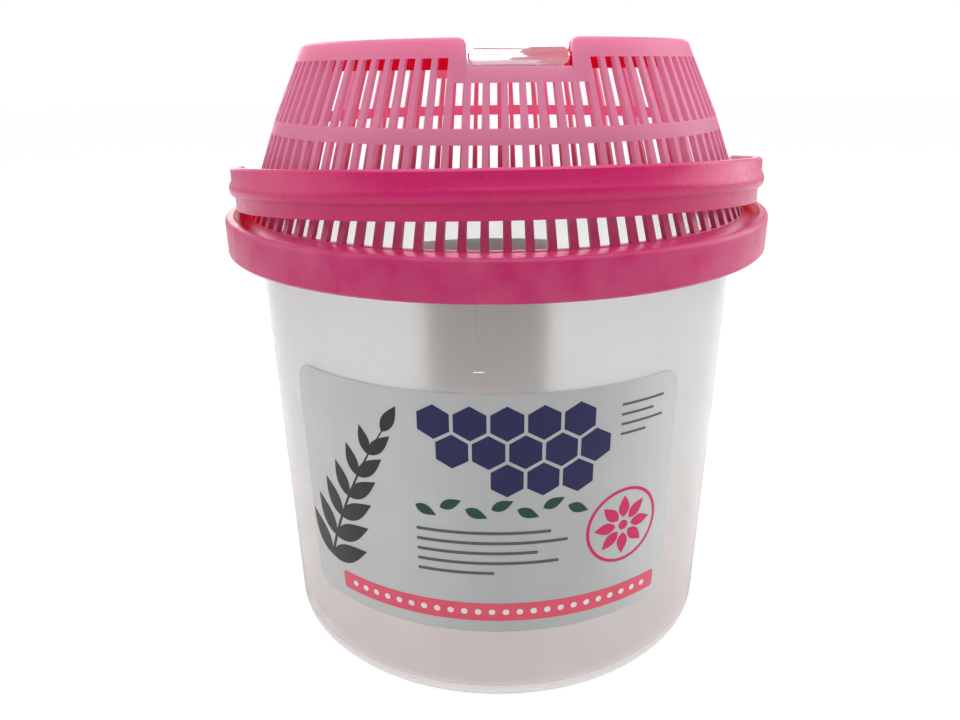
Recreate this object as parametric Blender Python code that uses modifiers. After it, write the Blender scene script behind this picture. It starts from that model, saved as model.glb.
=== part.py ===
"""Round insect case: a clear bucket, a slotted dome lid with a swinging strap handle, and a magnifying lens.

Units are metres, +Z is up. The origin is the centre of the face that the bucket stands on.
The lens tab and the handle's middle face -Y.
"""
import math

import bmesh
import bpy
from mathutils import Matrix, Vector

MM = 0.001

# Sizes that drive the case
FIT_GAP = 0.3 * MM            # air left between pieces that touch
OVERRUN = 5.0 * MM            # how far a cutter runs past what it cuts
FACETS = 90                   # sides of every round wall, one for each slot of the dome

# bucket
BUCKET_HEIGHT = 111.2 * MM    # foot to the top of the rim
BUCKET_TOP_R = 62.2 * MM      # outer radius just under the rim
BUCKET_FOOT_R = 60.1 * MM     # outer radius just above the bottom corner
BUCKET_WALL = 1.3 * MM
BUCKET_FLOOR = 1.5 * MM
BUCKET_CORNER = 1.8 * MM      # radius of the bottom corner
FOOT_WIDTH = 2.6 * MM         # flat of the foot ring
FOOT_HEIGHT = 1.0 * MM        # how far the floor stands off the table
RIM_REACH = 5.8 * MM          # how far the rim stands out from the wall
RIM_THICK = 1.5 * MM
RIM_DROP = 4.6 * MM           # depth of the rim's turned-down edge
RIB_COUNT = 4                 # ribs that keep stacked buckets apart
RIB_WIDTH = 2.3 * MM
RIB_PROUD = 1.5 * MM
RIB_LENGTH = 23.0 * MM
PRINT_TURN = math.radians(-9.5)       # how far the bucket and its stickers are turned under the lid

# lid: skirt, shoulder and slotted dome
SKIRT_CLEARANCE = 0.5 * MM    # between the skirt and the bucket's rim
SKIRT_WALL = 1.5 * MM
SKIRT_HEIGHT = 9.0 * MM
SKIRT_ROUND = 1.2 * MM        # rounding of the skirt's upper edge
SHOULDER_THICK = 1.6 * MM
DOME_HEIGHT = 39.3 * MM       # shoulder to the top edge
DOME_BAND_INSET = 8.6 * MM    # how far the dome has drawn in at the top of its plain band
DOME_TOP_INSET = 16.6 * MM    # the same at its top edge
DOME_WALL = 1.3 * MM          # measured level, not square to the slope
EDGE_ROUND = 0.5 * MM
TOP_EDGE_WIDTH = 3.0 * MM     # from the outside of the top edge to the bore that the lens drops into
TOP_EDGE_HEIGHT = 2.8 * MM    # solid part of that edge
SEAT_WALL = 1.3 * MM
SEAT_DEPTH = 5.0 * MM         # top edge to the ledge under the lens
LEDGE_WIDTH = 3.0 * MM
LEDGE_THICK = 1.0 * MM

# slots of the dome
SLOT_PITCH = 2 * math.pi / FACETS
LOWER_SLOT_WIDTH = 2.7 * MM
UPPER_SLOT_WIDTH = 2.35 * MM
SLOT_SILL = 0.15 * MM         # shoulder to the foot of the lower slots
LOWER_SLOT_HEIGHT = 19.25 * MM
SLOT_BAND = 3.0 * MM          # plain band between the two rows
UPPER_SLOT_HEIGHT = 13.1 * MM
SHORT_SLOT_DROP = 4.7 * MM    # how much lower the slots under a notch begin
NOTCH_WIDTH = 21.2 * MM
NOTCH_DEPTH = 5.5 * MM
NOTCH_ROUND = 1.6 * MM
NOTCH_LIP = 0.5 * MM          # slope along the outer edge of the notch's floor

# handle
PIVOT_EAR_R = 5.1 * MM        # half height of the strap at its pivots, where its ends are rounded
STRAP_SETBACK = 1.8 * MM      # how far the strap's bead stands back from the skirt's outside
STRAP_THICK = 2.6 * MM        # over the bead
STRAP_CLEARANCE = 1.4 * MM    # between the strap and the foot of the dome
STRAP_ABOVE_BEAD = 3.0 * MM
STRAP_BEAD = 3.5 * MM
STRAP_BELOW_BEAD = 3.2 * MM
STRAP_WALL_INSET = 0.7 * MM   # bead to the flat wall above it
STRAP_NECK_INSET = 1.3 * MM   # bead to the neck below it
STRAP_TILT = math.radians(5.2)        # the handle's front stands this much above level
HEEL_LENGTH = 4.0 * MM        # flat under each end that lands on the shoulder and holds the tilt
HEEL_BLEND = 3.0 * MM         # from the heel back to the strap's own lower edge
PIN_R = 1.6 * MM
PIN_LENGTH = 2.9 * MM
PIN_CLEARANCE = 0.3 * MM
BOSS_R = 4.3 * MM
BOSS_SLOTS_LEFT_OUT = 1       # slots left out on each side of a boss, beside the one on it

# lens
LENS_EDGE = 2.5 * MM
LENS_TOP_BULGE = 2.2 * MM
LENS_UNDER_BULGE = 1.3 * MM
TAB_LENGTH = 20.2 * MM
TAB_HEIGHT = 3.3 * MM
TAB_REACH = 2.8 * MM          # how far the tab stands out past the lens seat
HINGE_DEPTH = 2.0 * MM        # top edge of the dome to the lens's hinge axis
HINGE_BARREL_R = 1.5 * MM
HINGE_PIN_R = 0.6 * MM
HINGE_PIN_LENGTH = 1.5 * MM
HINGE_CLEARANCE = 0.25 * MM
LENS_TRIM = 4.2 * MM          # what is cut off the lens beside its hinge, so that it clears the edge

# stickers
STICKER_THICK = 0.25 * MM
STICKER_GAP = 0.2 * MM
FRONT_STICKER = {"width": 98.0 * MM, "bottom": 20.5 * MM, "top": 82.3 * MM, "corner": 5.0 * MM, "turn": 0.0}
BACK_STICKER = {"width": 46.0 * MM, "bottom": 32.0 * MM, "top": 90.4 * MM, "corner": 1.0 * MM,
                "turn": math.radians(186.2)}
STICKER_COLUMNS = 26
CORNER_COLUMNS = 4

# Sizes that follow from them
RIM_R = BUCKET_TOP_R + RIM_REACH
SKIRT_R = RIM_R + SKIRT_CLEARANCE + SKIRT_WALL
STRAP_R = SKIRT_R - STRAP_SETBACK
STRAP_INNER_R = STRAP_R - STRAP_THICK
DOME_BASE_R = STRAP_INNER_R - STRAP_CLEARANCE
DOME_BAND_R = DOME_BASE_R - DOME_BAND_INSET
DOME_TOP_R = DOME_BASE_R - DOME_TOP_INSET
SEAT_R = DOME_TOP_R - TOP_EDGE_WIDTH
SHOULDER_Z = BUCKET_HEIGHT + FIT_GAP + SHOULDER_THICK
TOP_Z = SHOULDER_Z + DOME_HEIGHT
SKIRT_BOTTOM_Z = SHOULDER_Z - SKIRT_HEIGHT
LEDGE_Z = TOP_Z - SEAT_DEPTH
LOWER_SLOT_Z = SHOULDER_Z + SLOT_SILL
LOWER_SLOT_TOP_Z = LOWER_SLOT_Z + LOWER_SLOT_HEIGHT
UPPER_SLOT_Z = LOWER_SLOT_TOP_Z + SLOT_BAND
UPPER_SLOT_TOP_Z = UPPER_SLOT_Z + UPPER_SLOT_HEIGHT
NOTCH_Z = TOP_Z - NOTCH_DEPTH
PIVOT_Z = SHOULDER_Z + FIT_GAP + PIVOT_EAR_R
STRAP_HEIGHT = STRAP_ABOVE_BEAD + STRAP_BEAD + STRAP_BELOW_BEAD
LENS_R = SEAT_R - FIT_GAP
LENS_Z = LEDGE_Z + FIT_GAP
TAB_Z = NOTCH_Z + FIT_GAP
HINGE_Z = TOP_Z - HINGE_DEPTH
# the hinge pins run into the middle of the top edge beside the rear notch
HINGE_EDGE_R = (SEAT_R + DOME_TOP_R) / 2
HINGE_Y = math.sqrt(HINGE_EDGE_R ** 2 - (NOTCH_WIDTH / 2) ** 2)

PINK = (0.78, 0.10, 0.24, 1.0)
CLEAR = (0.86, 0.86, 0.86, 1.0)
GLASSY = (0.93, 0.94, 0.94, 1.0)
SILVER = (0.66, 0.68, 0.68, 1.0)


def dome_radius(z):
    """Outer radius of the dome at height z: it leans in a little more above its plain band."""
    if z < UPPER_SLOT_Z:
        return DOME_BASE_R - (DOME_BASE_R - DOME_BAND_R) * (z - SHOULDER_Z) / (UPPER_SLOT_Z - SHOULDER_Z)
    return DOME_BAND_R - (DOME_BAND_R - DOME_TOP_R) * (z - UPPER_SLOT_Z) / (TOP_Z - UPPER_SLOT_Z)


def make_collection(name):
    coll = bpy.data.collections.new(name)
    bpy.context.scene.collection.children.link(coll)
    return coll


def make_material(name, color, roughness, alpha=1.0):
    mat = bpy.data.materials.new(name)
    mat.use_nodes = True
    shader = mat.node_tree.nodes["Principled BSDF"]
    shader.inputs["Base Color"].default_value = color
    shader.inputs["Roughness"].default_value = roughness
    shader.inputs["Metallic"].default_value = 0.0
    shader.inputs["Alpha"].default_value = alpha
    return mat


def add_object(name, mesh, coll, mat=None):
    obj = bpy.data.objects.new(name, mesh)
    coll.objects.link(obj)
    if mat:
        mesh.materials.append(mat)
    return obj


def cutter_object(name, mesh):
    obj = add_object(name, mesh, CUTTERS)
    obj.hide_render = True
    obj.display_type = 'WIRE'
    return obj


def mesh_from(bm, name):
    mesh = bpy.data.meshes.new(name)
    bm.to_mesh(mesh)
    bm.free()
    return mesh


def arc(center, radius, start, end, steps):
    """Points of an arc in a turned profile, as (radius, height) pairs."""
    turns = [start + (end - start) * i / steps for i in range(steps + 1)]
    return [(center[0] + radius * math.cos(a), center[1] + radius * math.sin(a)) for a in turns]


def turned_mesh(name, profile):
    """A solid turned from a profile of (radius, height) points, down its outer side and up its inner side."""
    mesh = bpy.data.meshes.new(name)
    following = list(range(1, len(profile))) + [0]
    edges = [(i, j) for i, j in enumerate(following) if profile[i][0] > 0 or profile[j][0] > 0]
    mesh.from_pydata([(r, 0, z) for r, z in profile], edges, [])
    obj = bpy.data.objects.new(name, mesh)
    CUTTERS.objects.link(obj)
    screw = obj.modifiers.new("Turn", 'SCREW')
    screw.angle = 2 * math.pi
    screw.steps = screw.render_steps = FACETS
    screw.use_merge_vertices = True
    screw.merge_threshold = 0.00001
    done = bpy.data.meshes.new_from_object(obj.evaluated_get(bpy.context.evaluated_depsgraph_get()))
    # half a facet's turn puts an edge of the wall, and so a bar between two slots, at the very front
    done.transform(Matrix.Rotation(SLOT_PITCH / 2, 4, 'Z'))
    done.name = name
    bpy.data.objects.remove(obj)
    bpy.data.meshes.remove(mesh)
    return done


def add_box(bm, low, high, turn=0.0):
    """A box between two corners, then turned about Z."""
    low, high = Vector(low), Vector(high)
    place = Matrix.Rotation(turn, 4, 'Z') @ Matrix.Translation((low + high) / 2)
    size = high - low
    bmesh.ops.create_cube(bm, size=1.0, matrix=place @ Matrix.Diagonal((*size, 1.0)))


def add_rod(bm, center, radius, length, segments=32):
    """A cylinder that lies along X."""
    place = Matrix.Translation(center) @ Matrix.Rotation(math.pi / 2, 4, 'Y')
    bmesh.ops.create_cone(bm, cap_ends=True, segments=segments, radius1=radius, radius2=radius,
                          depth=length, matrix=place)


def add_prism(bm, outline, start, vector):
    """A flat outline of 3-D points, pushed along a vector."""
    verts = [bm.verts.new(Vector(p) + Vector(start)) for p in outline]
    face = bm.faces.new(verts)
    grown = bmesh.ops.extrude_face_region(bm, geom=[face])
    moved = [v for v in grown["geom"] if isinstance(v, bmesh.types.BMVert)]
    bmesh.ops.translate(bm, verts=moved, vec=vector)
    bmesh.ops.recalc_face_normals(bm, faces=bm.faces)


def boolean(obj, cutter, operation):
    mod = obj.modifiers.new(operation.title(), 'BOOLEAN')
    mod.operation = operation
    mod.solver = 'EXACT'
    mod.object = cutter
    return mod


def shade(obj):
    obj.data.shade_smooth()
    obj.data.set_sharp_from_angle(angle=math.radians(30))


def bucket_profile():
    """Cross-section of the bucket: rim, wall, bottom corner, foot ring, floor and inside."""
    top, rim_r = BUCKET_HEIGHT, RIM_R
    corner_r = BUCKET_FOOT_R - BUCKET_CORNER
    foot_in = corner_r - FOOT_WIDTH
    floor_top = FOOT_HEIGHT + BUCKET_FLOOR
    inner_corner = BUCKET_CORNER - BUCKET_WALL
    points = [(rim_r - EDGE_ROUND, top), (rim_r, top - EDGE_ROUND), (rim_r, top - RIM_DROP),
              (rim_r - RIM_THICK, top - RIM_DROP), (rim_r - RIM_THICK, top - RIM_THICK),
              (BUCKET_TOP_R, top - RIM_THICK)]
    points += arc((corner_r, BUCKET_CORNER), BUCKET_CORNER, 0, -math.pi / 2, 4)
    points += [(foot_in, 0), (foot_in - FOOT_HEIGHT, FOOT_HEIGHT), (0, FOOT_HEIGHT), (0, floor_top)]
    points += [(x, z) for x, z in arc((BUCKET_FOOT_R - BUCKET_WALL - inner_corner, floor_top + inner_corner),
                                      inner_corner, -math.pi / 2, 0, 1)]
    points += [(BUCKET_TOP_R - BUCKET_WALL, top)]
    return points


def lid_profile():
    """Cross-section of the lid: top edge, sloping dome, shoulder, skirt, inside and lens seat."""
    under = SHOULDER_Z - SHOULDER_THICK
    ledge_low = LEDGE_Z - LEDGE_THICK
    seat_out = SEAT_R + SEAT_WALL
    # a narrow groove lies between the dome and the outside of the lens seat, up to the solid top edge
    solid_z = TOP_Z - TOP_EDGE_HEIGHT
    points = [(DOME_TOP_R - EDGE_ROUND, TOP_Z), (dome_radius(TOP_Z - EDGE_ROUND), TOP_Z - EDGE_ROUND),
              (DOME_BAND_R, UPPER_SLOT_Z), (DOME_BASE_R, SHOULDER_Z)]
    points += arc((SKIRT_R - SKIRT_ROUND, SHOULDER_Z - SKIRT_ROUND), SKIRT_ROUND, math.pi / 2, 0, 4)
    points += [(SKIRT_R, SKIRT_BOTTOM_Z + EDGE_ROUND), (SKIRT_R - EDGE_ROUND, SKIRT_BOTTOM_Z),
               (SKIRT_R - SKIRT_WALL, SKIRT_BOTTOM_Z), (SKIRT_R - SKIRT_WALL, under),
               (dome_radius(under) - DOME_WALL, under), (DOME_BAND_R - DOME_WALL, UPPER_SLOT_Z),
               (dome_radius(solid_z) - DOME_WALL, solid_z)]
    points += [(seat_out, solid_z), (seat_out, ledge_low),
               (SEAT_R - LEDGE_WIDTH, ledge_low), (SEAT_R - LEDGE_WIDTH, LEDGE_Z), (SEAT_R, LEDGE_Z),
               (SEAT_R, TOP_Z - EDGE_ROUND), (SEAT_R + EDGE_ROUND, TOP_Z)]
    return points


def strap_profile():
    """Cross-section of the handle's strap about its own mid-height: flat wall, bead and neck."""
    high, low = STRAP_HEIGHT / 2, -STRAP_HEIGHT / 2
    bead_top, bead_low = high - STRAP_ABOVE_BEAD, low + STRAP_BELOW_BEAD
    wall_r, neck_r = STRAP_R - STRAP_WALL_INSET, STRAP_R - STRAP_NECK_INSET
    half = (bead_top - bead_low) / 2
    middle = (bead_top + bead_low) / 2
    bead = [(STRAP_R - STRAP_WALL_INSET * (1 - math.cos(a)) / (1 - math.cos(math.pi / 3)),
             middle + half * math.sin(a) / math.sin(math.pi / 3))
            for a in [math.pi / 3 * (1 - i / 2) for i in range(5)]]
    return [(wall_r - EDGE_ROUND, high), (wall_r, high - EDGE_ROUND)] + bead + \
           [(neck_r, bead_low), (neck_r, low), (STRAP_INNER_R, low), (STRAP_INNER_R, high)]


def lens_profile():
    """Cross-section of the lens: two shallow domes on a level edge."""
    edge_low, edge_top = LENS_Z, LENS_Z + LENS_EDGE
    steps = 3
    upper = [(LENS_R * i / steps, edge_top + LENS_TOP_BULGE * (1 - (i / steps) ** 2)) for i in range(steps)]
    under = [(LENS_R * i / steps, edge_low - LENS_UNDER_BULGE * (1 - (i / steps) ** 2)) for i in range(steps)]
    # the domes end at the ledge, so that the flat edge lies on it
    rest_r = LENS_R - LEDGE_WIDTH
    under = [(r * rest_r / LENS_R, z) for r, z in under]
    return upper + [(LENS_R, edge_top), (LENS_R, edge_low), (rest_r, edge_low)] + list(reversed(under))


def slot_turns():
    """Every slot's turn about Z, starting beside the front."""
    return [-math.pi / 2 + SLOT_PITCH * (i + 0.5) for i in range(FACETS)]


def near(turn, other, reach):
    return abs((turn - other + math.pi) % (2 * math.pi) - math.pi) < reach


def slot_cutters():
    bm = bmesh.new()
    notch_reach = NOTCH_WIDTH / 2 / DOME_TOP_R + SLOT_PITCH / 2
    boss_reach = SLOT_PITCH * (BOSS_SLOTS_LEFT_OUT + 0.5)
    for turn in slot_turns():
        if not (near(turn, 0, boss_reach) or near(turn, math.pi, boss_reach)):
            half = LOWER_SLOT_WIDTH / 2
            inner = dome_radius(LOWER_SLOT_TOP_Z) - DOME_WALL - OVERRUN
            add_box(bm, (inner, -half, LOWER_SLOT_Z), (DOME_BASE_R + OVERRUN, half, LOWER_SLOT_TOP_Z), turn)
        under_notch = near(turn, -math.pi / 2, notch_reach) or near(turn, math.pi / 2, notch_reach)
        top = UPPER_SLOT_TOP_Z - (SHORT_SLOT_DROP if under_notch else 0)
        half = UPPER_SLOT_WIDTH / 2
        inner = SEAT_R + SEAT_WALL + EDGE_ROUND
        add_box(bm, (inner, -half, UPPER_SLOT_Z), (DOME_BASE_R + OVERRUN, half, top), turn)
    return cutter_object("slot_cutter", mesh_from(bm, "slot_cutter"))


def notch_outline():
    """The notch seen from the front: a flat floor, upright sides and edges that flare at the top."""
    half, r = NOTCH_WIDTH / 2, NOTCH_ROUND
    side = [(half, NOTCH_Z)]
    side += [(half + r - r * math.cos(a), TOP_Z - r + r * math.sin(a))
             for a in [math.pi / 2 * i / 4 for i in range(5)]]
    side += [(half + r, TOP_Z + OVERRUN)]
    return [(x, 0, z) for x, z in side] + [(-x, 0, z) for x, z in reversed(side)]


def notch_cutters():
    bm = bmesh.new()
    inner = SEAT_R - LEDGE_WIDTH - OVERRUN
    for toward in (-1, 1):
        add_prism(bm, notch_outline(), (0, toward * inner, 0), (0, toward * (DOME_TOP_R + OVERRUN - inner), 0))
    return cutter_object("notch_cutter", mesh_from(bm, "notch_cutter"))


def lip_cutter():
    """A ring with a sloping underside, kept only inside the two notches."""
    edge_r = dome_radius(NOTCH_Z)
    ring = [(edge_r + OVERRUN, NOTCH_Z + NOTCH_LIP), (edge_r + OVERRUN, NOTCH_Z - NOTCH_LIP - OVERRUN),
            (edge_r - NOTCH_LIP, NOTCH_Z), (edge_r - NOTCH_LIP, NOTCH_Z + NOTCH_LIP)]
    obj = cutter_object("lip_cutter", turned_mesh("lip_cutter", ring))
    bm = bmesh.new()
    wide, half, low = edge_r + 2 * OVERRUN, NOTCH_WIDTH / 2, NOTCH_Z - 2 * OVERRUN
    add_box(bm, (-half, -wide, low), (half, wide, TOP_Z))
    boolean(obj, cutter_object("notch_span", mesh_from(bm, "notch_span")), 'INTERSECT')
    return obj


def build_bucket():
    obj = add_object("bucket", turned_mesh("bucket", bucket_profile()), PARTS,
                     make_material("clear plastic", CLEAR, 0.25, 0.35))
    bm = bmesh.new()
    inner = BUCKET_TOP_R - BUCKET_WALL
    rib_top = BUCKET_HEIGHT - RIM_THICK
    for i in range(RIB_COUNT):
        turn = -math.pi / 2 + PRINT_TURN + 2 * math.pi * i / RIB_COUNT
        add_box(bm, (inner - RIB_PROUD, -RIB_WIDTH / 2, rib_top - RIB_LENGTH),
                (inner + BUCKET_WALL / 2, RIB_WIDTH / 2, rib_top), turn)
    boolean(obj, cutter_object("rib_joiner", mesh_from(bm, "rib_joiner")), 'UNION')
    shade(obj)


def build_lid():
    obj = add_object("lid", turned_mesh("lid", lid_profile()), PARTS, PINK_PLASTIC)
    boss_out = STRAP_INNER_R - FIT_GAP
    boss_in = dome_radius(PIVOT_Z + BOSS_R) - DOME_WALL
    hole_end = STRAP_INNER_R - PIN_LENGTH - PIN_CLEARANCE
    bosses, holes, hinge_holes = bmesh.new(), bmesh.new(), bmesh.new()
    for side in (-1, 1):
        add_rod(bosses, (side * (boss_in + boss_out) / 2, 0, PIVOT_Z), BOSS_R, boss_out - boss_in)
        add_rod(holes, (side * (hole_end + boss_out + OVERRUN) / 2, 0, PIVOT_Z), PIN_R + PIN_CLEARANCE,
                boss_out + OVERRUN - hole_end, segments=24)
        reach = (NOTCH_WIDTH - TAB_LENGTH) / 2
        pin_end = TAB_LENGTH / 2 + HINGE_PIN_LENGTH + HINGE_CLEARANCE + reach
        add_rod(hinge_holes, (side * (NOTCH_WIDTH / 2 - reach + pin_end) / 2, HINGE_Y, HINGE_Z),
                HINGE_PIN_R + HINGE_CLEARANCE, pin_end - NOTCH_WIDTH / 2 + reach, segments=12)
    boolean(obj, cutter_object("boss_joiner", mesh_from(bosses, "boss_joiner")), 'UNION')
    for cutter in (cutter_object("pivot_hole_cutter", mesh_from(holes, "pivot_hole_cutter")),
                   cutter_object("hinge_hole_cutter", mesh_from(hinge_holes, "hinge_hole_cutter")),
                   notch_cutters(), lip_cutter(), slot_cutters()):
        boolean(obj, cutter, 'DIFFERENCE')
    shade(obj)


def end_cut_outline():
    """What is cut off the ring behind the pivots, seen from the side: all but the strap's round ends."""
    wide = STRAP_R + OVERRUN
    ends = [(0, PIVOT_EAR_R * math.cos(a), PIVOT_EAR_R * math.sin(a))
            for a in [math.pi / 2 - math.pi * i / 16 for i in range(17)]]
    return [(0, 0, wide)] + ends + [(0, 0, -wide), (0, wide, -wide), (0, wide, wide)]


def heel_outline():
    """The heel seen from the side, in the strap's neck: level once the strap is tilted."""
    down = -math.pi / 2 - STRAP_TILT
    back = (PIVOT_EAR_R * math.cos(down), PIVOT_EAR_R * math.sin(down))
    foot = (back[0] + HEEL_LENGTH * math.cos(STRAP_TILT), back[1] - HEEL_LENGTH * math.sin(STRAP_TILT))
    root = (foot[0] + HEEL_BLEND, -STRAP_HEIGHT / 2)
    neck_top = STRAP_BELOW_BEAD - STRAP_HEIGHT / 2
    outline = [back, foot, root, (root[0], neck_top), (back[0], neck_top)]
    return [(0, -u, w) for u, w in outline]


def build_handle():
    """The strap is modelled level about its own pivot, then tilted up at the front."""
    mesh = turned_mesh("handle", strap_profile())
    # the strap grows a little taller from the front to its pivots
    growth = 2 * PIVOT_EAR_R / STRAP_HEIGHT - 1
    for vert in mesh.vertices:
        sideways = vert.co.x ** 2 / (vert.co.x ** 2 + vert.co.y ** 2)
        vert.co.z *= 1 + growth * sideways
    obj = add_object("handle", mesh, PARTS, PINK_PLASTIC)
    wide = STRAP_R + OVERRUN
    ends, heels, pins = bmesh.new(), bmesh.new(), bmesh.new()
    add_prism(ends, end_cut_outline(), (-wide, 0, 0), (2 * wide, 0, 0))
    thick = STRAP_R - STRAP_NECK_INSET - STRAP_INNER_R
    overlap = thick / 2
    for side in (-1, 1):
        add_prism(heels, heel_outline(), (side * STRAP_INNER_R, 0, 0), (side * thick, 0, 0))
        add_rod(pins, (side * (STRAP_INNER_R + (overlap - PIN_LENGTH) / 2), 0, 0), PIN_R, PIN_LENGTH + overlap,
                segments=24)
    for name, bm, operation in (("strap_end_cutter", ends, 'DIFFERENCE'), ("heel_joiner", heels, 'UNION'),
                                ("pin_joiner", pins, 'UNION')):
        joiner = cutter_object(name, mesh_from(bm, name))
        joiner.parent = obj
        boolean(obj, joiner, operation)
    obj.location = (0, 0, PIVOT_Z)
    obj.rotation_euler = (-STRAP_TILT, 0, 0)
    shade(obj)


def build_lens():
    """The lens hangs on an empty that stands on its hinge axis."""
    mesh = turned_mesh("lens", lens_profile())
    mesh.transform(Matrix.Translation((0, -HINGE_Y, -HINGE_Z)))
    obj = add_object("lens", mesh, PARTS, make_material("clear lens", GLASSY, 0.05, 0.3))
    obj.location = (0, HINGE_Y, HINGE_Z)
    trim, tab, barrel, pins = bmesh.new(), bmesh.new(), bmesh.new(), bmesh.new()
    trim_y = LENS_R - LENS_TRIM - HINGE_Y
    for side in (-1, 1):
        near_x, far_x = sorted((side * TAB_LENGTH / 2, side * LENS_R))
        add_box(trim, (near_x, trim_y, -LENS_R), (far_x, trim_y + LENS_TRIM + OVERRUN, LENS_R))
    # a pill-shaped tab in the front notch, joined to the lens's edge
    half, rise = TAB_LENGTH / 2, TAB_HEIGHT / 2
    round_r = rise
    pill = [(half - round_r + round_r * math.cos(a), 0, round_r * math.sin(a))
            for a in [-math.pi / 2 + math.pi * i / 8 for i in range(9)]]
    pill += [(-x, 0, -z) for x, _, z in pill]
    pill = [(x, 0, z + TAB_Z + rise - HINGE_Z) for x, _, z in pill]
    tab_front = -(SEAT_R + TAB_REACH) - HINGE_Y
    tab_back = -math.sqrt(LENS_R ** 2 - half ** 2) - HINGE_Y + EDGE_ROUND
    add_prism(tab, pill, (0, tab_front, 0), (0, tab_back - tab_front, 0))
    add_rod(barrel, (0, 0, 0), HINGE_BARREL_R, TAB_LENGTH, segments=20)
    pin_out = TAB_LENGTH + 2 * HINGE_PIN_LENGTH + (NOTCH_WIDTH - TAB_LENGTH)
    add_rod(pins, (0, 0, 0), HINGE_PIN_R, pin_out, segments=12)
    for name, bm, operation in (("lens_trim_cutter", trim, 'DIFFERENCE'), ("tab_joiner", tab, 'UNION'),
                                ("barrel_joiner", barrel, 'UNION'), ("hinge_pin_joiner", pins, 'UNION')):
        joiner = cutter_object(name, mesh_from(bm, name))
        joiner.parent = obj
        boolean(obj, joiner, operation)
    shade(obj)


def bucket_radius(z):
    """Outer radius of the bucket's wall at height z."""
    share = (z - BUCKET_CORNER) / (BUCKET_HEIGHT - RIM_THICK - BUCKET_CORNER)
    return BUCKET_FOOT_R + (BUCKET_TOP_R - BUCKET_FOOT_R) * share


def build_sticker(name, size, color):
    """A sticker with rounded corners, wrapped round the bucket's wall."""
    middle = (size["bottom"] + size["top"]) / 2
    half_turn = size["width"] / bucket_radius(middle) / 2
    corner_turn = size["corner"] / bucket_radius(middle)
    corner_share = [1 - math.cos(math.pi / 2 * i / CORNER_COLUMNS) for i in range(CORNER_COLUMNS)]
    left = [-half_turn + corner_turn * s for s in corner_share]
    body = [(-half_turn + corner_turn) + 2 * (half_turn - corner_turn) * i / STICKER_COLUMNS
            for i in range(STICKER_COLUMNS + 1)]
    turns = left + body + [-t for t in reversed(left)]
    bm = bmesh.new()
    rows = []
    for turn in turns:
        into = max(0, abs(turn) - (half_turn - corner_turn)) / corner_turn
        inset = size["corner"] * (1 - math.sqrt(max(0, 1 - into ** 2)))
        column = []
        for z in (size["bottom"] + inset, size["top"] - inset):
            r = bucket_radius(z) + STICKER_GAP
            a = -math.pi / 2 + PRINT_TURN + size["turn"] + turn
            column.append(bm.verts.new((r * math.cos(a), r * math.sin(a), z)))
        rows.append(column)
    for (low, high), (next_low, next_high) in zip(rows, rows[1:]):
        bm.faces.new((low, next_low, next_high, high))
    obj = add_object(name, mesh_from(bm, name), PARTS, make_material(name, color, 0.4))
    solid = obj.modifiers.new("Thickness", 'SOLIDIFY')
    solid.thickness = STICKER_THICK
    solid.offset = 1.0
    shade(obj)


for old in list(bpy.data.objects):
    bpy.data.objects.remove(old)

PARTS = make_collection("insect_case")
CUTTERS = make_collection("cutters")
PINK_PLASTIC = make_material("pink plastic", PINK, 0.3)

build_bucket()
build_sticker("front_sticker", FRONT_STICKER, SILVER)
build_sticker("back_sticker", BACK_STICKER, SILVER)
build_lid()
build_handle()
build_lens()
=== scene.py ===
"""Looks of the insect case: materials, stickers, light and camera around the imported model."""
import math

import bmesh
import bpy
from mathutils import Matrix, Vector


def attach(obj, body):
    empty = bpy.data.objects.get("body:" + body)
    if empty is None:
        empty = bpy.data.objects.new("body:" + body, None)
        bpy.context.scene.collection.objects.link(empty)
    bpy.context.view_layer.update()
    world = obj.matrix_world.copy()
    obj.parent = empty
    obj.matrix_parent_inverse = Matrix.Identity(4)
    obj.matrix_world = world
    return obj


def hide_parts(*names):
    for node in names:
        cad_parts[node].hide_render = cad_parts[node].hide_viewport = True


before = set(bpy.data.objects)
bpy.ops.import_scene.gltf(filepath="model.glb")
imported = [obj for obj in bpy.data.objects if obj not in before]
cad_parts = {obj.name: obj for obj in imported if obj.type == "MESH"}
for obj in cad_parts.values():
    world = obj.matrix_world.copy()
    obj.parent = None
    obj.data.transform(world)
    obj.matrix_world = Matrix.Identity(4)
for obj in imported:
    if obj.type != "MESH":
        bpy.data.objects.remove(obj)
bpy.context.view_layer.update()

MM = 0.001
WIDTH_PX, FOCAL_PX = 960, 784

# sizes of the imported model
PRINT_TURN = math.radians(-9.5)
BACK_TURN = math.radians(186.2)
BUCKET_FOOT_R, BUCKET_TOP_R = 60.1 * MM, 62.2 * MM
BUCKET_CORNER, BUCKET_WALL_TOP = 1.8 * MM, 109.7 * MM
SHOULDER_Z, LEDGE_Z, TOP_Z = 113.1 * MM, 147.4 * MM, 152.4 * MM
SEAT_OUTER_R = 45.9 * MM
STICKER_FACE = 0.45 * MM      # the wall to the face of a sticker
PRINT_MIDDLE_Z = 51.4 * MM
INK_LIFT, INK_THICK = 0.03 * MM, 0.02 * MM
STRIP_WIDTH = 2.0 * MM
ROUND_EDGE = 0.3 * MM         # rounding of the strap's and the lens's edges
JOIN = 0.001 * MM             # points closer than this are one
TAB_Y = -45.2 * MM            # the lens's tab lies in front of this

# from which angle between faces an edge counts
FLAT_ANGLE, BEVEL_ANGLE = math.radians(0.2), math.radians(35)
SHARP_ANGLE, SHARP_ROUNDED_ANGLE = math.radians(30), math.radians(40)

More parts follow.
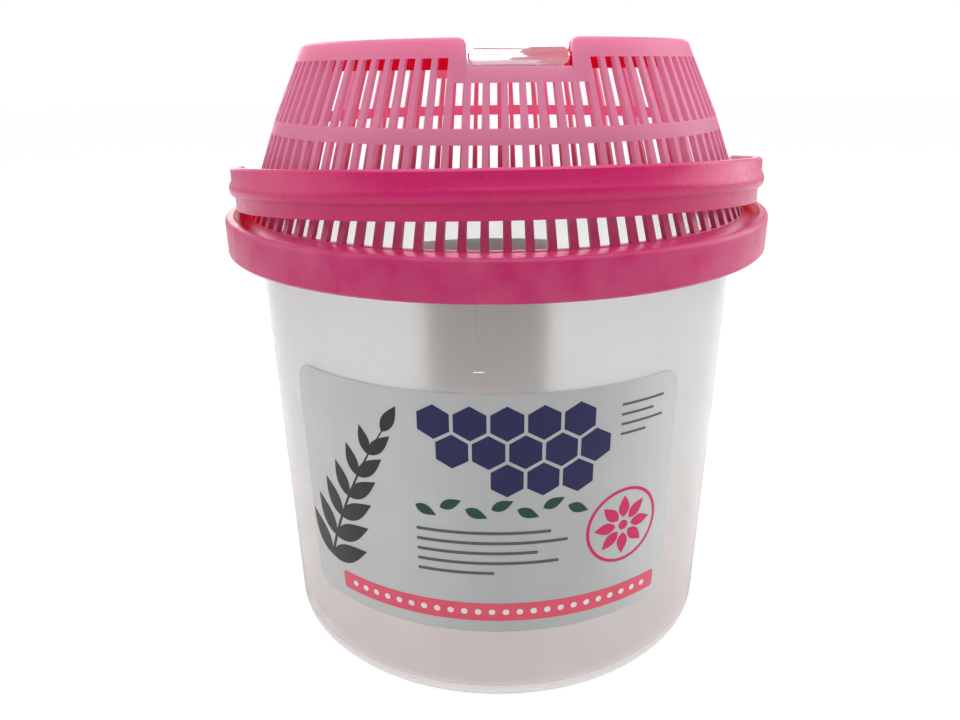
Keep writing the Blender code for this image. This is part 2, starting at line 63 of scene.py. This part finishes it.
# plastics and films
PLASTIC_IOR, CLEAR_IOR, FILM_IOR = 1.49, 1.42, 1.45
PLASTIC_SPECULAR, FILM_SPECULAR = 0.4, 0.35
GRAIN_SCALE, GRAIN_STRENGTH, GRAIN_DEPTH = 1800.0, 0.08, 0.0001
SHEEN_SCALE = 600.0
WHITE = (1, 1, 1, 1)

# name, place, height that it aims at, width and length, power
LIGHTS = (("key", (0.10, -0.35, 0.75), 0.1, (0.7, 0.5), 1.9),
          ("top", (0.0, 0.10, 0.85), 0.1, (0.8, 0.6), 3.5),
          ("left", (-0.7, 0.0, 0.35), 0.08, (0.6, 0.6), 1.3),
          ("right", (0.7, 0.1, 0.35), 0.08, (0.6, 0.6), 2.8),
          ("back", (0.0, 0.8, 0.4), 0.08, (0.9, 0.6), 5.0))
FLOOR_RADIUS = 4.0


def srgb(r, g, b):
    """A colour given as 0 to 255, as the screen shows it."""
    def linear(c):
        c /= 255
        return c / 12.92 if c <= 0.04045 else ((c + 0.055) / 1.055) ** 2.4
    return (linear(r), linear(g), linear(b), 1.0)


def place_camera():
    """The camera stands just below the dome's top edge and looks down at the label."""
    turn = math.radians(-5.0)             # the lens tab stands 5 degrees right of the line of sight
    pitch, roll = math.radians(20.3), math.radians(0.7)
    spot = Vector((-4.5, -213.9, 146.3)) * MM
    right, forward = Vector((1, 0, 0)), Vector((0, math.cos(pitch), -math.sin(pitch)))
    down = forward.cross(right)
    right, down = (math.cos(roll) * right + math.sin(roll) * down,
                   math.cos(roll) * down - math.sin(roll) * right)
    spin = Matrix.Rotation(turn, 3, 'Z')
    axes = Matrix((spin @ right, spin @ -down, spin @ -forward)).transposed().to_4x4()
    data = bpy.data.cameras.new("camera")
    data.sensor_width = 36.0
    data.sensor_fit = 'HORIZONTAL'
    data.lens = FOCAL_PX / WIDTH_PX * data.sensor_width
    data.clip_start = 0.005
    camera = bpy.data.objects.new("camera", data)
    camera.matrix_world = Matrix.Translation(spin @ spot) @ axes
    bpy.context.scene.collection.objects.link(camera)
    bpy.context.scene.camera = camera


class Nodes:
    """Short calls for building the nodes of a material or a world."""

    def __init__(self, owner):
        owner.use_nodes = True
        self.tree = owner.node_tree
        self.tree.nodes.clear()

    def add(self, kind, **values):
        node = self.tree.nodes.new(kind)
        for key, value in values.items():
            if hasattr(node, key):
                setattr(node, key, value)
            else:
                node.inputs[key.replace("_", " ")].default_value = value
        return node

    def link(self, source, target):
        self.tree.links.new(source, target)

    def output(self, shader, kind='ShaderNodeOutputMaterial'):
        self.link(shader.outputs[0], self.add(kind).inputs['Surface'])

    def place(self):
        """Where a point lies in the row frame, as x, y and z outputs."""
        split = self.add('ShaderNodeSeparateXYZ')
        self.link(self.add('ShaderNodeTexCoord').outputs['Object'], split.inputs[0])
        return split.outputs

    def heading(self):
        """Where a ray of the world goes, as x, y and z outputs."""
        split = self.add('ShaderNodeSeparateXYZ')
        self.link(self.add('ShaderNodeTexCoord').outputs['Generated'], split.inputs[0])
        return split.outputs

    def noise(self, scale, low, high, detail=3.0):
        """Noise over the surface, spread between two values."""
        noise = self.add('ShaderNodeTexNoise', Scale=scale, Detail=detail)
        self.link(self.add('ShaderNodeTexCoord').outputs['Object'], noise.inputs['Vector'])
        return self.spread(noise.outputs['Fac'], 0.3, 0.7, low, high)

    def spread(self, source, from_low, from_high, to_low, to_high):
        spread = self.add('ShaderNodeMapRange')
        for socket, value in zip(spread.inputs[1:5], (from_low, from_high, to_low, to_high)):
            socket.default_value = value
        self.link(source, spread.inputs['Value'])
        return spread.outputs['Result']

    def math(self, operation, a, b=0.0):
        node = self.add('ShaderNodeMath', operation=operation)
        for socket, value in zip(node.inputs, (a, b)):
            if isinstance(value, (int, float)):
                socket.default_value = value
            else:
                self.link(value, socket)
        return node.outputs[0]

    def colour(self, share, first, second):
        """Blends two colours, or two colour outputs, by a share."""
        blend = self.add('ShaderNodeMix', data_type='RGBA')
        self.link(share, blend.inputs[0])
        for socket, value in zip((blend.inputs[6], blend.inputs[7]), (first, second)):
            if isinstance(value, tuple):
                socket.default_value = value
            else:
                self.link(value, socket)
        return blend.outputs[2]

    def shaders(self, share, first, second):
        mix = self.add('ShaderNodeMixShader')
        if isinstance(share, float):
            mix.inputs[0].default_value = share
        else:
            self.link(share, mix.inputs[0])
        self.link(first.outputs[0], mix.inputs[1])
        self.link(second.outputs[0], mix.inputs[2])
        return mix

    def moulded_normal(self):
        """A faint moulding grain."""
        bump = self.add('ShaderNodeBump', Strength=GRAIN_STRENGTH, Distance=GRAIN_DEPTH)
        self.link(self.noise(GRAIN_SCALE, 0.0, 1.0), bump.inputs['Height'])
        return bump.outputs[0]


def use_material(obj, mat):
    obj.data.materials.clear()
    obj.data.materials.append(mat)
    for poly in obj.data.polygons:
        poly.material_index = 0


def smooth_copy(name, body, mat, edge=0.0):
    """The same shape, shaded round, with its sharp edges rounded by a width."""
    bm = bmesh.new()
    bm.from_mesh(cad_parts[name].data)
    bmesh.ops.remove_doubles(bm, verts=bm.verts[:], dist=JOIN)
    if edge:
        bmesh.ops.dissolve_limit(bm, angle_limit=FLAT_ANGLE, verts=bm.verts[:], edges=bm.edges[:])
        sharp = [e for e in bm.edges if e.is_manifold and e.calc_face_angle(0) > BEVEL_ANGLE]
        bmesh.ops.bevel(bm, geom=sharp, offset=edge, segments=2, profile=0.5,
                        affect='EDGES', clamp_overlap=True)
    bm.verts.index_update()
    mesh = bpy.data.meshes.new(name + "_surface")
    points = [v.co[:] for v in bm.verts]
    corners = [[v.index for v in f.verts] for f in bm.faces]
    mesh.from_pydata(points, [], corners)
    bm.free()
    mesh.shade_smooth()
    mesh.set_sharp_from_angle(angle=SHARP_ROUNDED_ANGLE if edge else SHARP_ANGLE)
    obj = bpy.data.objects.new(name + "_surface", mesh)
    bpy.context.scene.collection.objects.link(obj)
    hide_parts(name)
    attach(obj, body)
    use_material(obj, mat)


def lid_plastic():
    """Satin pink plastic, with painted light and shade: painted paler in the thin dome, and painted
    as saturated crimson shade behind the lens seat and at the shoulder's ends.
    """
    mat = bpy.data.materials.new("lid_plastic")
    n = Nodes(mat)
    x, y, z = n.place()
    thin = n.spread(z, SHOULDER_Z + 1 * MM, SHOULDER_Z + 16 * MM, 0.0, 1.0)
    radius = n.math('SQRT', n.math('ADD', n.math('MULTIPLY', x, x), n.math('MULTIPLY', y, y)))
    # painted shade: the lens seat's wall is painted saturated crimson for the shade it lies in
    inside = n.math('LESS_THAN', radius, SEAT_OUTER_R + 0.2 * MM)
    behind = n.math('MULTIPLY', inside, n.math('GREATER_THAN', z, LEDGE_Z - 1.5 * MM))
    seat = n.math('MULTIPLY', behind, n.math('LESS_THAN', z, TOP_Z - 1.0 * MM))
    # painted shade: the shoulder and the bosses under the ears are thick and lie in the strap's
    # shade, so they are painted saturated crimson
    ends = n.math('MULTIPLY', n.spread(n.math('ABSOLUTE', x), 54 * MM, 60 * MM, 0.0, 1.0),
                  n.spread(z, SHOULDER_Z + 6 * MM, SHOULDER_Z + 9 * MM, 1.0, 0.0))
    low = n.math('MULTIPLY', n.math('GREATER_THAN', z, SHOULDER_Z - 0.3 * MM),
                 n.math('LESS_THAN', radius, 68 * MM))
    painted_shade = n.math('MAXIMUM', seat, n.math('MULTIPLY', ends, low))
    # painted shade: inner faces get a darker, more saturated tone, for light that reaches them only
    # through the plastic
    normal = n.add('ShaderNodeSeparateXYZ')
    n.link(n.add('ShaderNodeNewGeometry').outputs['True Normal'], normal.inputs[0])
    outward = n.math('ADD', n.math('MULTIPLY', x, normal.outputs[0]),
                     n.math('MULTIPLY', y, normal.outputs[1]))
    inner = n.spread(n.math('DIVIDE', outward, radius), -0.7, -0.3, 1.0, 0.0)
    # painted light: the thin dome's base tone is paler, for light falling on it and shining through
    # it; its thinness also raises the translucent share
    tone = n.colour(thin, srgb(188, 26, 98), srgb(209, 136, 170))
    tone = n.colour(n.noise(140.0, 0.0, 0.18), tone, srgb(218, 140, 174))
    tone = n.colour(n.math('MULTIPLY', inner, 0.6), tone, srgb(214, 60, 112))
    # painted shade: saturated crimson on the seat wall and at the shoulder's ends
    tone = n.colour(painted_shade, tone, srgb(214, 0, 72))
    body = n.add('ShaderNodeBsdfPrincipled', IOR=PLASTIC_IOR,
                 Specular_IOR_Level=PLASTIC_SPECULAR)
    n.link(tone, body.inputs['Base Color'])
    n.link(n.noise(SHEEN_SCALE, 0.28, 0.40), body.inputs['Roughness'])
    n.link(n.moulded_normal(), body.inputs['Normal'])
    glow = n.add('ShaderNodeBsdfTranslucent')
    light = n.colour(thin, srgb(216, 50, 120), srgb(246, 196, 218))
    light = n.colour(n.math('MULTIPLY', inner, 0.6), light, srgb(240, 90, 130))
    # the painted shade also lets a saturated red light through, standing in for light passed through
    # many pink walls
    n.link(n.colour(painted_shade, light, srgb(255, 0, 96)), glow.inputs['Color'])
    share = n.math('MAXIMUM', n.spread(thin, 0.0, 1.0, 0.2, 0.58),
                   n.math('MULTIPLY', painted_shade, 0.75))
    n.output(n.shaders(share, body, glow))
    return mat


def handle_plastic():
    """The same plastic in the thicker strap, so that little light comes through."""
    mat = bpy.data.materials.new("handle_plastic")
    n = Nodes(mat)
    body = n.add('ShaderNodeBsdfPrincipled', IOR=PLASTIC_IOR,
                 Specular_IOR_Level=PLASTIC_SPECULAR)
    tone = n.colour(n.noise(160.0, 0.0, 0.18), srgb(192, 20, 96), srgb(206, 60, 118))
    n.link(tone, body.inputs['Base Color'])
    n.link(n.noise(SHEEN_SCALE, 0.26, 0.38), body.inputs['Roughness'])
    n.link(n.moulded_normal(), body.inputs['Normal'])
    glow = n.add('ShaderNodeBsdfTranslucent', Color=srgb(214, 40, 112))
    n.output(n.shaders(0.15, body, glow))
    return mat


def clear_plastic():
    """Slightly frosted clear plastic, with a faint painted pink light near the floor, as from the
    pink lid.
    """
    mat = bpy.data.materials.new("clear_plastic")
    n = Nodes(mat)
    _, _, z = n.place()
    high = n.spread(z, 0.0, 60 * MM, 0.0, 1.0)
    glass = n.add('ShaderNodeBsdfPrincipled', Base_Color=srgb(248, 249, 248), IOR=CLEAR_IOR,
                  Transmission_Weight=1.0)
    n.link(n.noise(60.0, 0.14, 0.22), glass.inputs['Roughness'])
    haze = n.add('ShaderNodeBsdfDiffuse')
    # painted light: haze and glow turn pinkish towards the bottom, for pink light from the lid
    n.link(n.colour(high, srgb(204, 182, 180), srgb(206, 208, 206)), haze.inputs['Color'])
    glow = n.add('ShaderNodeBsdfTranslucent')
    n.link(n.colour(high, srgb(226, 206, 204), srgb(228, 230, 228)), glow.inputs['Color'])
    n.output(n.shaders(0.26, glass, n.shaders(0.5, haze, glow)))
    return mat


def lens_plastic():
    """Polished clear plastic, with a painted pink at its rim for the lid's light, and milky in its
    tab.
    """
    mat = bpy.data.materials.new("lens_plastic")
    n = Nodes(mat)
    _, y, _ = n.place()
    tab = n.math('LESS_THAN', y, TAB_Y)
    glass = n.add('ShaderNodeBsdfPrincipled', Base_Color=srgb(250, 248, 249), IOR=PLASTIC_IOR,
                  Transmission_Weight=1.0)
    n.link(n.noise(40.0, 0.01, 0.04), glass.inputs['Roughness'])
    haze = n.add('ShaderNodeBsdfDiffuse')
    # painted light: the haze outside the tab is pink, for the lid's light in the lens
    n.link(n.colour(tab, srgb(206, 140, 162), srgb(232, 208, 216)), haze.inputs['Color'])
    glow = n.add('ShaderNodeBsdfTranslucent')
    n.link(n.colour(tab, srgb(214, 146, 168), srgb(240, 216, 224)), glow.inputs['Color'])
    rim = n.add('ShaderNodeLayerWeight', Blend=0.3)
    share = n.spread(rim.outputs['Facing'], 0.3, 1.0, 0.05, 0.7)
    share = n.math('MAXIMUM', share, n.math('MULTIPLY', tab, 0.45))
    n.output(n.shaders(share, glass, n.shaders(0.5, haze, glow)))
    return mat


def film(name, color):
    """Printed film: a little uneven in colour and sheen."""
    mat = bpy.data.materials.new(name)
    n = Nodes(mat)
    body = n.add('ShaderNodeBsdfPrincipled', IOR=FILM_IOR, Specular_IOR_Level=FILM_SPECULAR)
    n.link(n.noise(500.0, 0.32, 0.42), body.inputs['Roughness'])
    shade = n.add('ShaderNodeHueSaturation', Color=color)
    n.link(n.noise(220.0, 0.96, 1.04), shade.inputs['Value'])
    n.link(shade.outputs['Color'], body.inputs['Base Color'])
    n.output(body)
    return mat


def silver_film():
    """The sticker's silvery ground, with painted light and shade: lighter towards its left edge and
    at its right end.
    """
    mat = bpy.data.materials.new("sticker_ground")
    n = Nodes(mat)
    x, _, _ = n.place()
    ramp = n.add('ShaderNodeValToRGB')
    # painted light and shade: grey levels across the sticker from left to right
    painted_light_stops = ((0.0, 172), (0.25, 174), (0.55, 160), (0.8, 164), (1.0, 180))
    while len(ramp.color_ramp.elements) < len(painted_light_stops):
        ramp.color_ramp.elements.new(0.5)
    for element, (spot, grey) in zip(ramp.color_ramp.elements, painted_light_stops):
        element.position = spot
        element.color = srgb(grey, grey + 1, grey + 1)
    n.link(n.spread(x, -52 * MM, 34 * MM, 0.0, 1.0), ramp.inputs['Fac'])
    body = n.add('ShaderNodeBsdfPrincipled', IOR=FILM_IOR)
    shade = n.add('ShaderNodeHueSaturation')
    n.link(ramp.outputs['Color'], shade.inputs['Color'])
    n.link(n.noise(90.0, 0.97, 1.03), shade.inputs['Value'])
    n.link(shade.outputs['Color'], body.inputs['Base Color'])
    n.link(n.noise(500.0, 0.28, 0.36), body.inputs['Roughness'])
    n.output(body)
    return mat


def bucket_radius(z):
    share = (z - BUCKET_CORNER) / (BUCKET_WALL_TOP - BUCKET_CORNER)
    return BUCKET_FOOT_R + (BUCKET_TOP_R - BUCKET_FOOT_R) * share


def wrap(u, v, lift, turn):
    """A point of a flat sticker, u along the wall and v up, on the bucket's wall."""
    r = bucket_radius(v) + STICKER_FACE + lift
    a = -math.pi / 2 + PRINT_TURN + turn + u / bucket_radius(PRINT_MIDDLE_Z)
    return Vector((r * math.cos(a), r * math.sin(a), v))


def print_ink(name, outlines, mat, turn=0.0):
    """One printed colour: flat outlines, cut into strips and wrapped on the sticker as thin film."""
    bm = bmesh.new()
    for outline in outlines:
        bm.faces.new([bm.verts.new((u * MM, v * MM, 0)) for u, v in outline])
    across = [v.co.x for v in bm.verts]
    cut = math.ceil(min(across) / STRIP_WIDTH) * STRIP_WIDTH
    while cut < max(across):
        geom = bm.verts[:] + bm.edges[:] + bm.faces[:]
        bmesh.ops.bisect_plane(bm, geom=geom, plane_co=(cut, 0, 0), plane_no=(1, 0, 0),
                               dist=1e-7)
        cut += STRIP_WIDTH
    bmesh.ops.recalc_face_normals(bm, faces=bm.faces)
    for face in bm.faces:
        if face.normal.z < 0:
            face.normal_flip()
    under = bmesh.ops.duplicate(bm, geom=bm.verts[:] + bm.edges[:] + bm.faces[:])
    twins = under["vert_map"]
    top_edges = [e for e in bm.edges
                 if e.is_boundary and e.verts[0] in twins and e.verts[1] in twins
                 and e not in under["edge_map"].values()]
    lower = set(g for g in under["geom"] if isinstance(g, bmesh.types.BMVert))
    sides = []
    for edge in top_edges:
        a, b = edge.verts
        if a in lower:
            continue
        sides.append((a, b, twins[b], twins[a]))
    for corners in sides:
        bm.faces.new(corners)
    for face in [g for g in under["geom"] if isinstance(g, bmesh.types.BMFace)]:
        face.normal_flip()
    for vert in bm.verts:
        drop = INK_THICK if vert in lower else 0.0
        vert.co = wrap(vert.co.x, vert.co.y, INK_LIFT - drop, turn)
    bmesh.ops.triangulate(bm, faces=[f for f in bm.faces if len(f.verts) > 4])
    bmesh.ops.recalc_face_normals(bm, faces=bm.faces)
    mesh = bpy.data.meshes.new(name)
    bm.to_mesh(mesh)
    bm.free()
    mesh.shade_smooth()
    mesh.set_sharp_from_angle(angle=SHARP_ROUNDED_ANGLE)
    obj = bpy.data.objects.new(name, mesh)
    bpy.context.scene.collection.objects.link(obj)
    use_material(obj, mat)
    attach(obj, "case")


def turned(points, u, v, lean):
    c, s = math.cos(math.radians(lean)), math.sin(math.radians(lean))
    return [(u + x * c - y * s, v + x * s + y * c) for x, y in points]


def pill(u, v, length, height, corner=None, lean=0.0):
    """A bar with rounded corners, centred on (u, v)."""
    corner = height / 2 if corner is None else corner
    reach, rise = length / 2 - corner, height / 2 - corner
    points = []
    middles = ((reach, rise), (-reach, rise), (-reach, -rise), (reach, -rise))
    for quarter, (cu, cv) in enumerate(middles):
        for i in range(5):
            a = math.pi / 2 * (quarter + i / 4)
            points.append((cu + corner * math.cos(a), cv + corner * math.sin(a)))
    return turned(points, u, v, lean)


def polygon(u, v, radius, sides, lean=0.0):
    turns = [2 * math.pi * i / sides for i in range(sides)]
    points = [(radius * math.cos(a), radius * math.sin(a)) for a in turns]
    return turned(points, u, v, lean)


def ring_parts(u, v, inner, outer, parts=36):
    """A ring, as a row of four-sided pieces."""
    pieces = []
    for i in range(parts):
        a, b = 2 * math.pi * i / parts, 2 * math.pi * (i + 1) / parts
        pieces.append([(u + r * math.cos(t), v + r * math.sin(t))
                       for r, t in ((inner, a), (outer, a), (outer, b), (inner, b))])
    return pieces


def leaf(u, v, length, width, lean):
    """A pointed leaf that starts at (u, v)."""
    steps = [i / 8 for i in range(9)]
    side = [(length * t, width / 2 * math.sin(math.pi * t ** 0.8)) for t in steps]
    return turned(side + [(x, -y) for x, y in reversed(side[1:-1])], u, v, lean)


def print_front():
    """A generic nature design: sprig, honeycomb, leaves, fine rules, daisy and ribbon."""
    dark, navy, green, crimson, coral, grey, pale = [], [], [], [], [], [], []
    stem = [(-42.0 + 2.3 * t + 0.16 * t * t, 31.5 + 6.6 * t) for t in range(7)]
    for i, (u, v) in enumerate(stem[:-1]):
        dark.append(leaf(u, v, 14.0 - 1.1 * i, 5.2 - 0.4 * i, 24 + 4 * i))
        dark.append(leaf(u, v, 13.0 - 1.1 * i, 5.0 - 0.4 * i, 120 - 3 * i))
    tip = stem[-1]
    dark.append(leaf(tip[0], tip[1], 8.0, 3.2, 60))
    dark.append([(u - 0.5 + 0.05 * i, v) for i, (u, v) in enumerate(stem)] +
                [(u + 0.5 - 0.05 * i, v) for i, (u, v) in reversed(list(enumerate(stem)))])
    # honeycomb: two full rows and the start of a third
    cell = 4.6
    for row, (start, count) in enumerate(((0.0, 5), (0.5, 5), (2.0, 3))):
        for i in range(count):
            u, v = -10.0 + cell * math.sqrt(3) * (start + i), 75.4 - cell * 1.5 * row
            navy.append(polygon(u, v, cell * 0.9, 6, 30))
    left = -15.0
    for i in range(7):
        green.append(leaf(left + 5.8 * i, 54.2, 5.4, 2.6, 24 if i % 2 else -24))
    for i, length in enumerate((31.0, 35.0, 28.0, 33.0, 18.0)):
        grey.append(pill(left + length / 2, 48.0 - 2.7 * i, length, 0.8, 0.3))
    for i, length in enumerate((12.0, 9.0, 12.0, 7.0)):
        grey.append(pill(32.0 + length / 2, 77.0 - 2.4 * i, length, 0.6, 0.2))
    # a daisy in a ring, over a ribbon with pale beads
    daisy_u, daisy_v, ribbon_v = 34.5, 45.5, 26.2
    crimson += ring_parts(daisy_u, daisy_v, 9.2, 10.0)
    for i in range(8):
        a = math.pi * i / 4
        u, v = daisy_u + 2.1 * math.cos(a), daisy_v + 2.1 * math.sin(a)
        crimson.append(leaf(u, v, 5.8, 3.0, 45 * i))
    crimson.append(polygon(daisy_u, daisy_v, 1.3, 16))
    coral.append(pill(4.0, ribbon_v, 84.0, 5.0, 0.8))
    for i in range(24):
        pale.append(polygon(-33.9 + 3.3 * i, ribbon_v, 0.8, 12))
    inks = (("dark", dark, (26, 30, 22)), ("navy", navy, (18, 16, 70)),
            ("green", green, (12, 60, 40)), ("crimson", crimson, (186, 12, 80)),
            ("coral", coral, (204, 74, 96)), ("grey", grey, (76, 78, 84)),
            ("pale", pale, (206, 206, 204)))
    for name, outlines, tint in inks:
        print_ink("print_" + name, outlines, film("ink_" + name, srgb(*tint)))


def print_back():
    """Plain rules, as small print has them."""
    lengths = [27.0 if i % 5 == 4 else 36.0 for i in range(13)]
    grey = [pill(0, 84.0 - 3.4 * i, length, 0.8, 0.3) for i, length in enumerate(lengths)]
    grey.append(pill(0, 37.5, 36.0, 4.0, 0.6))
    mat = film("ink_back", srgb(120, 122, 126))
    print_ink("back_print_grey", grey, mat, BACK_TURN)


def add_light(name, spot, target, size, power):
    data = bpy.data.lights.new(name, 'AREA')
    data.shape = 'RECTANGLE'
    data.size, data.size_y = size
    data.energy = power
    light = bpy.data.objects.new(name, data)
    spot, target = Vector(spot), Vector(target)
    light.location = spot
    light.rotation_euler = (target - spot).to_track_quat('-Z', 'Y').to_euler()
    bpy.context.scene.collection.objects.link(light)


def seen_rays(n):
    """1 where the camera or a see-through surface looks on."""
    path = n.add('ShaderNodeLightPath').outputs
    return n.math('MAXIMUM', path['Is Camera Ray'], path['Is Transmission Ray'])


def place_world():
    """A room that lights by height, glints from behind and looks white."""
    world = bpy.data.worlds.new("world")
    bpy.context.scene.world = world
    n = Nodes(world)
    _, y, z = n.heading()
    room = n.add('ShaderNodeBackground', Color=WHITE)
    n.link(n.spread(z, -0.2, 1.0, 0.38, 0.86), room.inputs['Strength'])
    gloss = n.add('ShaderNodeBackground', Color=WHITE)
    n.link(n.spread(y, -0.7, 0.3, 0.15, 1.0), gloss.inputs['Strength'])
    white = n.add('ShaderNodeBackground', Color=WHITE, Strength=1.0)
    reflected = n.add('ShaderNodeLightPath').outputs['Is Glossy Ray']
    unseen = n.shaders(reflected, room, gloss)
    n.output(n.shaders(seen_rays(n), unseen, white), 'ShaderNodeOutputWorld')


def place_floor():
    """A white floor that keeps some of the case's shadow."""
    mesh = bpy.data.meshes.new("floor")
    bm = bmesh.new()
    bmesh.ops.create_circle(bm, cap_ends=True, segments=64, radius=FLOOR_RADIUS)
    bm.to_mesh(mesh)
    bm.free()
    floor = bpy.data.objects.new("floor", mesh)
    bpy.context.scene.collection.objects.link(floor)
    mat = bpy.data.materials.new("floor")
    n = Nodes(mat)
    diffuse = n.add('ShaderNodeBsdfDiffuse', Color=(0.8, 0.8, 0.8, 1))
    shine = n.add('ShaderNodeEmission', Color=WHITE, Strength=1.04)
    n.output(n.shaders(n.math('MULTIPLY', seen_rays(n), 0.9), diffuse, shine))
    use_material(floor, mat)


place_camera()
smooth_copy("lid", "lid", lid_plastic())
smooth_copy("handle", "handle", handle_plastic(), ROUND_EDGE)
smooth_copy("bucket", "case", clear_plastic())
smooth_copy("lens", "lens", lens_plastic(), ROUND_EDGE)
use_material(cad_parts["front_sticker"], silver_film())
use_material(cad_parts["back_sticker"], film("sticker_back", srgb(222, 212, 212)))
print_front()
print_back()
place_world()
place_floor()
for light_name, place, height, area, watts in LIGHTS:
    add_light(light_name, place, (0, 0, height), area, watts)

bpy.context.scene.view_settings.view_transform = 'Standard'
